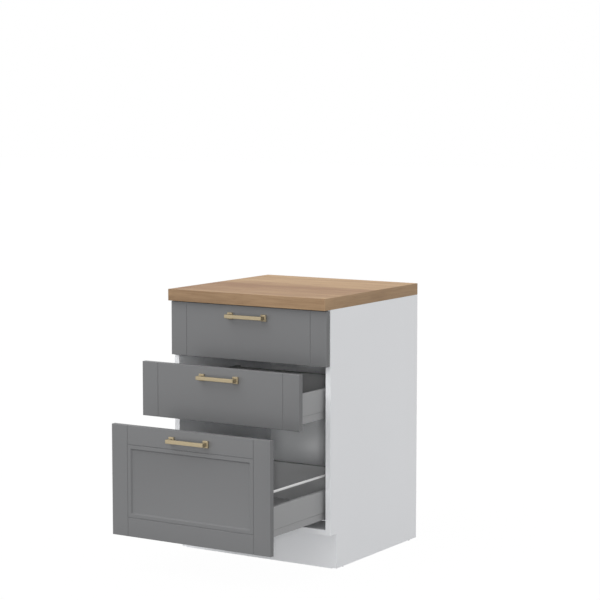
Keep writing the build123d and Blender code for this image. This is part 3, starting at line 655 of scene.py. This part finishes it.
def screw_tree():
    """Screws on points: a scaled pan head on the seat and a shank behind it."""
    tree, given, add, close = tree_with(
        "pan head screws",
        [
            ("Head", "NodeSocketObject"),
            ("Head Radius", "NodeSocketFloat"),
            ("Head Height", "NodeSocketFloat"),
            ("Shank Radius", "NodeSocketFloat"),
            ("Shank Length", "NodeSocketFloat"),
            ("Material", "NodeSocketMaterial"),
        ],
    )
    way = add("GeometryNodeInputNamedAttribute", {"data_type": "FLOAT_VECTOR"}, {0: "toward"})
    turn = add("FunctionNodeAlignEulerToVector", {"axis": "Z"}, {"Vector": way.outputs[0]})
    head = add("GeometryNodeObjectInfo", inputs={0: given["Head"]})
    size = add(
        "ShaderNodeCombineXYZ",
        inputs={0: given["Head Radius"], 1: given["Head Radius"], 2: given["Head Height"]},
    )
    heads = add(
        "GeometryNodeInstanceOnPoints",
        inputs={
            "Points": given["Geometry"],
            "Instance": head.outputs["Geometry"],
            "Rotation": turn.outputs[0],
            "Scale": size.outputs[0],
        },
    )
    shank = add(
        "GeometryNodeMeshCylinder",
        inputs={
            "Vertices": SHANK_SIDES,
            "Radius": given["Shank Radius"],
            "Depth": given["Shank Length"],
        },
    )
    half = add("ShaderNodeMath", {"operation": "MULTIPLY"}, {0: given["Shank Length"], 1: -0.5})
    down = add("ShaderNodeCombineXYZ", inputs={2: half.outputs[0]})
    moved = add(
        "GeometryNodeTransform", inputs={0: shank.outputs[0], "Translation": down.outputs[0]}
    )
    shanks = add(
        "GeometryNodeInstanceOnPoints",
        inputs={
            "Points": given["Geometry"],
            "Instance": moved.outputs[0],
            "Rotation": turn.outputs[0],
        },
    )
    both = add("GeometryNodeJoinGeometry")
    tree.links.new(heads.outputs[0], both.inputs[0])
    tree.links.new(shanks.outputs[0], both.inputs[0])
    close(both.outputs[0])
    return tree


pan_head = screw_head()
screws_on_points = screw_tree()


def drive_screws(node, body, seats, shank_radius, shank_length, head_height=HEAD_HEIGHT):
    """Screws at seats, each a point and the way its head looks."""
    piece = grown(
        node + "_set",
        screws_on_points,
        [point for point, way in seats],
        [],
        {
            "Head": pan_head,
            "Head Radius": HEAD_RADIUS,
            "Head Height": head_height,
            "Shank Radius": shank_radius,
            "Shank Length": shank_length,
            "Material": zinc_plate,
        },
        [way for point, way in seats],
    )
    return dress(piece, zinc_plate, "screw_steel", body, node)


stretcher_low, stretcher_high = corners("front_stretcher")
bracket_low, bracket_high = corners("worktop_brackets")
worktop_seats = []
for y, z, way in (
    ((stretcher_low.y + stretcher_high.y) / 2, stretcher_low.z, (0, 0, -1)),
    ((bracket_low.y + bracket_high.y) / 2, bracket_high.z - WORKTOP_BRACKET_PLATE, (0, 0, -1)),
    (bracket_high.y - WORKTOP_BRACKET_PLATE, (bracket_low.z + bracket_high.z) / 2, (0, -1, 0)),
):
    worktop_seats += [((hand * WORKTOP_SCREW_X, y, z), way) for hand in (-1, 1)]
drive_screws(
    "worktop_screws", "carcass", worktop_seats, shank_radius=0.0019, shank_length=0.0155
)


# ---------------------------------------------------------------- drawer fronts
# Each front is an 18 mm fibreboard panel milled with a frame and sprayed satin grey.  V grooves
# mark the stiles on all three, and the tall one also has rails, a flat bead and a sunk panel.
DRAWERS = ("top", "middle", "bottom")
FRAME_WIDTH = 0.061
BEAD_WIDTH = 0.012
EDGE_RADIUS = 0.0018
MILLING_SMOOTH_BELOW = 24.0
# how deep the V groove and the sunk panel's bevel go, at distances across them
GROOVE_SHAPE = (
    (-0.0016, 0.0),
    (-0.0013, 0.0002),
    (-0.0003, 0.0016),
    (0.0, 0.0018),
    (0.0003, 0.0016),
    (0.0013, 0.0002),
    (0.0016, 0.0),
)
RECESS_SHAPE = (
    (0.0, 0.0),
    (0.0003, 0.0002),
    (0.0035, 0.0045),
    (0.0039, 0.0049),
    (0.0044, 0.0050),
)


def follow(shape, where):
    """The depth of a milled profile at a distance across it."""
    if where <= shape[0][0]:
        return shape[0][1]
    for (a, low), (b, high) in zip(shape, shape[1:]):
        if where <= b:
            return low + (high - low) * (where - a) / (b - a)
    return shape[-1][1]


def round_over(where):
    """The depth of the rounded outer edge at a distance in from it."""
    if where >= EDGE_RADIUS:
        return 0.0
    return EDGE_RADIUS - math.sqrt(max(EDGE_RADIUS**2 - (EDGE_RADIUS - where) ** 2, 0.0))


def milled_front(name, low, high, framed):
    """A front between two corners, a close grid whose lines follow every milled profile."""
    x_stile = high.x - FRAME_WIDTH
    edge_steps = [EDGE_RADIUS * (1.0 - math.cos(math.radians(a))) for a in range(0, 91, 18)]
    x_lines = [high.x - s for s in edge_steps] + [x_stile + s for s, d in GROOVE_SHAPE]
    z_rails = (low.z + FRAME_WIDTH, high.z - FRAME_WIDTH)
    z_lines = [low.z + s for s in edge_steps] + [high.z - s for s in edge_steps]
    x_hole = x_stile - BEAD_WIDTH
    z_hole = (z_rails[0] + BEAD_WIDTH, z_rails[1] - BEAD_WIDTH)
    if framed:
        x_lines += [x_hole - s for s, d in RECESS_SHAPE]
        z_lines += [z + s for z in z_rails for s, d in GROOVE_SHAPE]
        z_lines += [z_hole[0] + s for s, d in RECESS_SHAPE]
        z_lines += [z_hole[1] - s for s, d in RECESS_SHAPE]
    x_lines = sorted({round(s * x, 6) for x in x_lines for s in (-1, 1)} | {0.0})
    z_lines = sorted({round(z, 6) for z in z_lines} | {round((low.z + high.z) / 2, 6)})

    def depth(x, z):
        deep = round_over(min(high.x - abs(x), z - low.z, high.z - z))
        deep = max(deep, follow(GROOVE_SHAPE, abs(x) - x_stile))
        if framed:
            if abs(x) <= x_stile:
                deep = max(deep, *(follow(GROOVE_SHAPE, z - rail) for rail in z_rails))
            inside = min(x_hole - abs(x), z - z_hole[0], z_hole[1] - z)
            deep = max(deep, follow(RECESS_SHAPE, inside))
        return deep

    shape = bmesh.new()
    face = [[shape.verts.new((x, low.y + depth(x, z), z)) for x in x_lines] for z in z_lines]
    for row, upper in zip(face, face[1:]):
        for k in range(len(x_lines) - 1):
            shape.faces.new((row[k], row[k + 1], upper[k + 1], upper[k]))
    rim = (
        face[0]
        + [row[-1] for row in face[1:]]
        + list(reversed(face[-1]))[1:]
        + [row[0] for row in reversed(face[1:-1])]
    )
    back = [shape.verts.new((v.co.x, high.y, v.co.z)) for v in rim]
    for k in range(len(rim)):
        following = (k + 1) % len(rim)
        shape.faces.new((rim[following], rim[k], back[k], back[following]))
    shape.faces.new(back)
    bmesh.ops.recalc_face_normals(shape, faces=shape.faces)
    return made_of(name, shape, MILLING_SMOOTH_BELOW)


lacquer_finish = Finish("satin grey lacquer")
haze = lacquer_finish.noise((2.5, 2.5, 2.5), detail=2.0)
orange_peel = lacquer_finish.noise((520.0, 520.0, 520.0), detail=2.0, roughness=0.4)
grey_lacquer = lacquer_finish.set(
    Base_Color=lacquer_finish.blend(haze, (0.147, 0.149, 0.152), (0.157, 0.159, 0.163)),
    Roughness=0.44 + haze * 0.06,
    Normal=lacquer_finish.bump(orange_peel, 0.06, 0.0002),
    Specular_IOR_Level=0.4,
)

for key in DRAWERS:
    front = milled_front(
        f"milled_front_{key}", *corners(f"front_{key}"), framed=(key == "bottom")
    )
    dress(front, grey_lacquer, "grey_paint", f"drawer_{key}", f"front_{key}")


# ---------------------------------------------------------------- bumper dots
# Soft clear dots stuck to the back of each front near its corners, where it meets the carcass.
# They take up most of the 2 mm gap and quieten the drawer as it shuts.
BUMPER_RADIUS, BUMPER_THICKNESS = 0.0045, 0.0016
BUMPER_CROWN_SHARE = 0.72
BUMPER_X, BUMPER_INSET = 0.291, 0.022


def bumper_tree():
    """Low domes on points, standing on the plane that they look away from."""
    tree, given, add, close = tree_with(
        "bumper dots",
        [
            ("Radius", "NodeSocketFloat"),
            ("Thickness", "NodeSocketFloat"),
            ("Material", "NodeSocketMaterial"),
        ],
    )
    way = add("GeometryNodeInputNamedAttribute", {"data_type": "FLOAT_VECTOR"}, {0: "toward"})
    turn = add("FunctionNodeAlignEulerToVector", {"axis": "Z"}, {"Vector": way.outputs[0]})
    crown = add(
        "ShaderNodeMath", {"operation": "MULTIPLY"}, {0: given["Radius"], 1: BUMPER_CROWN_SHARE}
    )
    dome = add(
        "GeometryNodeMeshCone",
        inputs={
            "Vertices": 20,
            "Side Segments": 3,
            "Radius Top": crown.outputs[0],
            "Radius Bottom": given["Radius"],
            "Depth": given["Thickness"],
        },
    )
    dots = add(
        "GeometryNodeInstanceOnPoints",
        inputs={
            "Points": given["Geometry"],
            "Instance": dome.outputs[0],
            "Rotation": turn.outputs[0],
        },
    )
    close(dots.outputs[0])
    return tree


soft = Finish("clear bumper")
cloudy = soft.noise((300.0, 300.0, 300.0), detail=2.0)
clear_bumper = soft.set(
    Base_Color=soft.blend(cloudy, (0.52, 0.53, 0.54), (0.62, 0.63, 0.64)),
    Roughness=0.25 + cloudy * 0.1,
    Normal=soft.bump(cloudy, 0.05, 0.0002),
)
dots_on_points = bumper_tree()
for key in DRAWERS:
    low, high = corners(f"front_{key}")
    places = [
        (hand * BUMPER_X, high.y, z)
        for hand in (-1, 1)
        for z in (low.z + BUMPER_INSET, high.z - BUMPER_INSET)
    ]
    dots = grown(
        f"bumper_dots_{key}",
        dots_on_points,
        places,
        [],
        {"Radius": BUMPER_RADIUS, "Thickness": BUMPER_THICKNESS, "Material": clear_bumper},
        [(0, 1, 0)] * len(places),
    )
    dress(dots, clear_bumper, "glide_plastic", f"drawer_{key}")


# ---------------------------------------------------------------- handles
# Solid brass bars of 140 mm on two square posts with wider feet, brushed along the bar and clear
# lacquered.  Two M4 screws from the back of the front hold each one, 128 mm apart.
HANDLE_EDGE_RADIUS = 0.0004
HANDLE_SMOOTH_BELOW = 50.0
HANDLE_SCREW_X = 0.064

brass = Finish("satin brass")
brushing = brass.noise((30.0, 1800.0, 1800.0), detail=2.0, roughness=0.6)
patina = brass.noise((70.0, 70.0, 70.0), detail=2.0)
satin_brass = brass.set(
    Base_Color=brass.blend(patina, (0.385, 0.322, 0.212), (0.432, 0.366, 0.249)),
    Metallic=1.0,
    Roughness=0.56 + brushing * 0.12,
    Normal=brass.bump(brushing, 0.08, 0.0002),
)

for key in DRAWERS:
    handle = eased_copy(
        f"handle_{key}",
        f"brass_handle_{key}",
        HANDLE_EDGE_RADIUS,
        segments=3,
        smooth_below=HANDLE_SMOOTH_BELOW,
    )
    dress(handle, satin_brass, "satin_brass", f"drawer_{key}", f"handle_{key}")
    low, high = corners(f"handle_{key}")
    z_handle = (low.z + high.z) / 2
    y_behind = corners(f"front_{key}")[1].y
    drive_screws(
        f"handle_screws_{key}",
        f"drawer_{key}",
        [((hand * HANDLE_SCREW_X, y_behind, z_handle), (0, 1, 0)) for hand in (-1, 1)],
        shank_radius=0.0019,
        shank_length=0.0265,
    )


# ---------------------------------------------------------------- steel drawer sides
# Each side is one strip of 1.2 mm steel folded into a double wall 15 mm wide: a ledge that the
# base lies on, the inner wall, the flat top, the outer wall and a lower band set back by 2 mm.
SHEET = 0.0012
LEDGE = 0.011
side_low, side_high = corners("side_bottom_right")
X_WALL, X_SIDE = side_low.x + LEDGE, side_high.x
BAND_HEIGHT, BAND_STEP = 0.022, 0.002
SIDE_BEND, BEND_STEPS, BEND_SMOOTH_BELOW = 0.0016, 5, 35.0


def fold_tree():
    """Bends a polyline's corners round and draws it out into a sheet along Y."""
    tree, given, add, close = tree_with(
        "folded sheet",
        [
            ("Bend Radius", "NodeSocketFloat"),
            ("Length", "NodeSocketFloat"),
            ("Material", "NodeSocketMaterial"),
        ],
    )
    path = add("GeometryNodeMeshToCurve", inputs={0: given["Geometry"]})
    bent = add(
        "GeometryNodeFilletCurve",
        {"mode": "POLY"},
        {"Curve": path.outputs[0], "Count": BEND_STEPS, "Radius": given["Bend Radius"]},
    )
    wire = add("GeometryNodeCurveToMesh", inputs={0: bent.outputs[0]})
    reach = add("ShaderNodeCombineXYZ", inputs={1: given["Length"]})
    drawn_out = add(
        "GeometryNodeExtrudeMesh",
        {"mode": "EDGES"},
        {0: wire.outputs[0], "Offset": reach.outputs[0]},
    )
    close(drawn_out.outputs[0])
    return tree


folded_sheet = fold_tree()


def folded(name, node, sections, bend, material):
    """Sheet steel folded along each section's middle line, as long as a CAD node."""
    y_start, y_end = (corner.y for corner in corners(node))
    points, edges = [], []
    for section in sections:
        start = len(points)
        points += [(x, y_start, z) for x, z in section]
        edges += [(start + k, start + k + 1) for k in range(len(section) - 1)]
    piece = grown(
        name,
        folded_sheet,
        points,
        edges,
        {"Bend Radius": bend, "Length": y_end - y_start, "Material": material},
    )
    wall = piece.modifiers.new("sheet", "SOLIDIFY")
    wall.thickness = SHEET
    wall.offset = 0.0
    wall.use_even_offset = True
    plain_mesh(piece)
    shape = bmesh.new()
    shape.from_mesh(piece.data)
    bmesh.ops.recalc_face_normals(shape, faces=shape.faces)
    shape.to_mesh(piece.data)
    shape.free()
    shade_smooth(piece.data, BEND_SMOOTH_BELOW)
    return piece


powder = Finish("grey powder coat")
grain_size = powder.noise((1500.0, 1500.0, 1500.0), detail=2.0, roughness=0.7)
tint = powder.noise((6.0, 6.0, 6.0), detail=2.0)
grey_powder = powder.set(
    Base_Color=powder.blend(tint, (0.298, 0.300, 0.304), (0.320, 0.322, 0.326)),
    Roughness=0.42 + grain_size * 0.12,
    Normal=powder.bump(grain_size, 0.10, 0.0002),
    Specular_IOR_Level=0.5,
)

for key in DRAWERS:
    for side, hand in (("left", -1), ("right", 1)):
        node = f"side_{key}_{side}"
        low, high = corners(node)
        section = [
            (X_WALL - LEDGE, low.z + SHEET / 2),
            (X_WALL + SHEET / 2, low.z + SHEET / 2),
            (X_WALL + SHEET / 2, high.z - SHEET / 2),
            (X_SIDE - SHEET / 2, high.z - SHEET / 2),
            (X_SIDE - SHEET / 2, low.z + BAND_HEIGHT + BAND_STEP),
            (X_SIDE - BAND_STEP - SHEET / 2, low.z + BAND_HEIGHT),
            (X_SIDE - BAND_STEP - SHEET / 2, low.z),
        ]
        section = [(hand * x, z) for x, z in section]
        wall = folded(f"folded_{node}", node, [section], SIDE_BEND, grey_powder)
        dress(wall, grey_powder, "grey_steel", f"drawer_{key}", node)


# ---------------------------------------------------------------- drawer boards
# Base and back are 16 mm chipboard faced with grey melamine that has a fine linen press.  The
# base lies on the ledges of the sides, and the back stands on it between the double walls.
linen = Finish("grey linen melamine")
warp = linen.noise((2400.0, 60.0, 2400.0), detail=1.0)
weft = linen.noise((60.0, 2400.0, 60.0), detail=1.0)
shade = linen.noise((4.0, 4.0, 4.0), detail=2.0)
weave = shade * 0.7 + (warp + weft - 1.0) * 0.6
grey_linen = linen.set(
    Base_Color=linen.blend(weave, (0.315, 0.317, 0.321), (0.349, 0.351, 0.355)),
    Roughness=0.5 + warp * 0.06,
    Normal=linen.bump(warp + weft, 0.08, 0.0002),
    Specular_IOR_Level=0.3,
)
for key in DRAWERS:
    for part in ("base", "back"):
        board = eased_copy(f"{part}_{key}", f"{part}_board_{key}", BOARD_EDGE_RADIUS)
        dress(board, grey_linen, "grey_board", f"drawer_{key}", f"{part}_{key}")


# ---------------------------------------------------------------- drawer brackets
# Pressed plates inside the double walls carry the front, and taller ones behind the back board
# tie it to the sides.  Both are 1.5 mm steel, black powder coated, with two screws each.
soot = Finish("black powder coat")
speck = soot.noise((1300.0, 1300.0, 1300.0), detail=2.0)
black_powder = soot.set(
    Base_Color=soot.blend(speck, (0.022, 0.022, 0.023), (0.040, 0.040, 0.041)),
    Roughness=0.46 + speck * 0.12,
    Normal=soot.bump(speck, 0.12, 0.0002),
)
BRACKET_PLATE, BRACKET_EDGE_RADIUS = 0.0015, 0.0003
REAR_SCREW_X = 0.241
CAVITY_X = (X_WALL + X_SIDE) / 2
BRACKET_SCREW_PITCH = 0.032

for key in DRAWERS:
    for part in ("front_brackets", "rear_brackets"):
        plates = eased_copy(f"{part}_{key}", f"{part}_{key}_plates", BRACKET_EDGE_RADIUS)
        dress(plates, black_powder, "black_steel", f"drawer_{key}", f"{part}_{key}")
    low, high = corners(f"front_brackets_{key}")
    y_front = low.y + BRACKET_PLATE
    y_rear = corners(f"rear_brackets_{key}")[1].y
    z_mid = (low.z + high.z) / 2
    seats = []
    for hand in (-1, 1):
        for z in (z_mid - BRACKET_SCREW_PITCH / 2, z_mid + BRACKET_SCREW_PITCH / 2):
            seats.append(((hand * CAVITY_X, y_front, z), (0, 1, 0)))
            seats.append(((hand * REAR_SCREW_X, y_rear, z), (0, 1, 0)))
    drive_screws(
        f"bracket_screws_{key}",
        f"drawer_{key}",
        seats,
        shank_radius=0.0016,
        shank_length=0.0124,
    )


# ---------------------------------------------------------------- gallery rails
# Two 8 mm steel rods, powder coated light grey, run over the sides of the deep drawer to hold
# tall things in.  A turned socket at each end takes the rod, with a rounded rim.
ROD_RADIUS, ROD_CHAMFER, ROD_FIT = 0.004, 0.0004, 0.0001
SOCKET_RADIUS, SOCKET_LENGTH, SOCKET_FLOOR = 0.007, 0.012, 0.002
# the rim's rounding: how far before the socket's end, and how far in from its radius
SOCKET_RIM = ((0.0015, 0.0003), (0.0005, 0.0008), (0.0, 0.0018))
TURNED_SIDES, TURNED_SMOOTH_BELOW = 36, 40.0


def turned(name, profiles):
    """Closed pieces turned about lines along Y; each profile is a centre and (y, radius) pairs."""
    shape = bmesh.new()
    for (x, z), outline in profiles:
        rings = []
        for y, radius in outline:
            if radius == 0.0:
                rings.append([shape.verts.new((x, y, z))])
                continue
            rings.append(
                [
                    shape.verts.new((x + radius * math.cos(a), y, z + radius * math.sin(a)))
                    for a in (2.0 * math.pi * k / TURNED_SIDES for k in range(TURNED_SIDES))
                ]
            )
        for low, high in zip(rings, rings[1:]):
            for k in range(TURNED_SIDES):
                following = (k + 1) % TURNED_SIDES
                if len(low) == 1:
                    shape.faces.new((low[0], high[following], high[k]))
                elif len(high) == 1:
                    shape.faces.new((low[k], low[following], high[0]))
                else:
                    shape.faces.new((low[k], low[following], high[following], high[k]))
    bmesh.ops.recalc_face_normals(shape, faces=shape.faces)
    return made_of(name, shape, TURNED_SMOOTH_BELOW)


pearl = Finish("light grey powder coat")
pearl_grain = pearl.noise((1500.0, 1500.0, 1500.0), detail=2.0, roughness=0.7)
light_powder = pearl.set(
    Base_Color=pearl.blend(pearl_grain, (0.70, 0.70, 0.70), (0.78, 0.78, 0.78)),
    Roughness=0.36 + pearl_grain * 0.1,
    Normal=pearl.bump(pearl_grain, 0.08, 0.0002),
)
low, high = corners("gallery_rails")
z_rod = (low.z + high.z) / 2
rod_outline = (
    (low.y, 0.0),
    (low.y, ROD_RADIUS - ROD_CHAMFER),
    (low.y + ROD_CHAMFER, ROD_RADIUS),
    (high.y - ROD_CHAMFER, ROD_RADIUS),
    (high.y, ROD_RADIUS - ROD_CHAMFER),
    (high.y, 0.0),
)
rods = turned("gallery_rods", [((hand * CAVITY_X, z_rod), rod_outline) for hand in (-1, 1)])
dress(rods, light_powder, "rod_paint", "drawer_bottom", "gallery_rails")
bore = ROD_RADIUS + ROD_FIT
sockets = []
for hand in (-1, 1):
    for y_seat, way in ((side_low.y, 1), (side_high.y, -1)):
        outline = (
            (0.0, 0.0),
            (0.0, SOCKET_RADIUS),
            *((SOCKET_LENGTH - before, SOCKET_RADIUS - inward) for before, inward in SOCKET_RIM),
            (SOCKET_LENGTH, bore + ROD_CHAMFER),
            (SOCKET_LENGTH - ROD_CHAMFER, bore),
            (SOCKET_FLOOR, bore),
            (SOCKET_FLOOR, 0.0),
        )
        sockets.append(((hand * CAVITY_X, z_rod), [(y_seat + way * y, r) for y, r in outline]))
dress(turned("rod_sockets", sockets), light_powder, "rod_paint", "drawer_bottom", "rail_sockets")


# ---------------------------------------------------------------- telescopic runners
# Three nested members in the hollow of each drawer side, roll-formed from 1.2 mm zinc plated
# steel: a C rail in the side, a smaller C inside it, and a rib that comes up from the cabinet's
# own rail, whose plate reaches under the side and is folded up against the panel.
RUNNER_WIDTH, RUNNER_HEIGHT, RUNNER_MOUTH = 0.010, 0.020, 0.0024
RUNNER_LIFT, RUNNER_GAP, RUNNER_FLANGE = 0.001, 0.0004, 0.016
X_PANEL = corners("side_panel_right")[0].x
RUNNER_BEND = 0.0009
FIRST_RUNNER_SCREW_Y, RUNNER_SCREW_PITCH, RUNNER_SCREW_COUNT = -0.001, 0.2085, 3
nesting = SHEET + RUNNER_GAP
x_runner = X_WALL + SHEET + RUNNER_WIDTH / 2


def c_section(z_low, width, height):
    """The middle line of a C with its mouth down."""
    half, lip = width / 2 - SHEET / 2, RUNNER_MOUTH / 2
    low, high = z_low + SHEET / 2, z_low + height - SHEET / 2
    return [
        (x_runner - lip, low),
        (x_runner - half, low),
        (x_runner - half, high),
        (x_runner + half, high),
        (x_runner + half, low),
        (x_runner + lip, low),
    ]


def cabinet_sections(z_box):
    """The cabinet's rail: a headed rib, the plate under the drawer side, and the flange."""
    z_plate = z_box - nesting + SHEET / 2
    z_head = z_box + RUNNER_LIFT + RUNNER_HEIGHT - 2 * nesting - SHEET / 2
    z_flange = z_box + RUNNER_LIFT + RUNNER_HEIGHT + RUNNER_FLANGE
    half_head = RUNNER_WIDTH / 2 - 2 * nesting
    return [
        [(x_runner - half_head, z_head), (x_runner + half_head, z_head)],
        [
            (x_runner, z_head - SHEET / 2),
            (x_runner, z_plate),
            (X_PANEL - SHEET / 2, z_plate),
            (X_PANEL - SHEET / 2, z_flange),
        ],
    ]


def both_hands(sections):
    """Sections of the right-hand side, and their mirror images."""
    return [[(hand * x, z) for x, z in line] for hand in (-1, 1) for line in sections]


def runner(name, node, body, sections):
    """A rail, or a pair of them, in place of a CAD node."""
    rail = folded(name, node, sections, RUNNER_BEND, zinc_plate)
    dress(rail, zinc_plate, "zinc_steel", body, node)


for key in DRAWERS:
    z_box = corners(f"side_{key}_right")[0].z
    z_rail = z_box + RUNNER_LIFT
    cabinet_pair = both_hands(cabinet_sections(z_box))
    runner(f"cabinet_runners_{key}", f"cabinet_rails_{key}", "carcass", cabinet_pair)
    drawer_pair = both_hands([c_section(z_rail, RUNNER_WIDTH, RUNNER_HEIGHT)])
    runner(f"drawer_runners_{key}", f"drawer_rails_{key}", f"drawer_{key}", drawer_pair)
    middle_section = c_section(
        z_rail + nesting, RUNNER_WIDTH - 2 * nesting, RUNNER_HEIGHT - 2 * nesting
    )
    for side, hand in (("left", -1), ("right", 1)):
        node = f"middle_rail_{key}_{side}"
        section = [(hand * x, z) for x, z in middle_section]
        runner(f"middle_runner_{key}_{side}", node, node, [section])

runner_seats = []
for key in DRAWERS:
    z_box = corners(f"side_{key}_right")[0].z
    z_screw = z_box + RUNNER_LIFT + RUNNER_HEIGHT + RUNNER_FLANGE / 2
    for hand in (-1, 1):
        for n in range(RUNNER_SCREW_COUNT):
            y = FIRST_RUNNER_SCREW_Y + RUNNER_SCREW_PITCH * n
            runner_seats.append(((hand * (X_PANEL - SHEET), y, z_screw), (-hand, 0, 0)))
drive_screws(
    "runner_screws",
    "carcass",
    runner_seats,
    shank_radius=0.0023,
    shank_length=0.0131,
    head_height=0.0024,
)


# ---------------------------------------------------------------- the end
# The screw head that the screws were copied from is taken away.
bpy.data.objects.remove(pan_head)
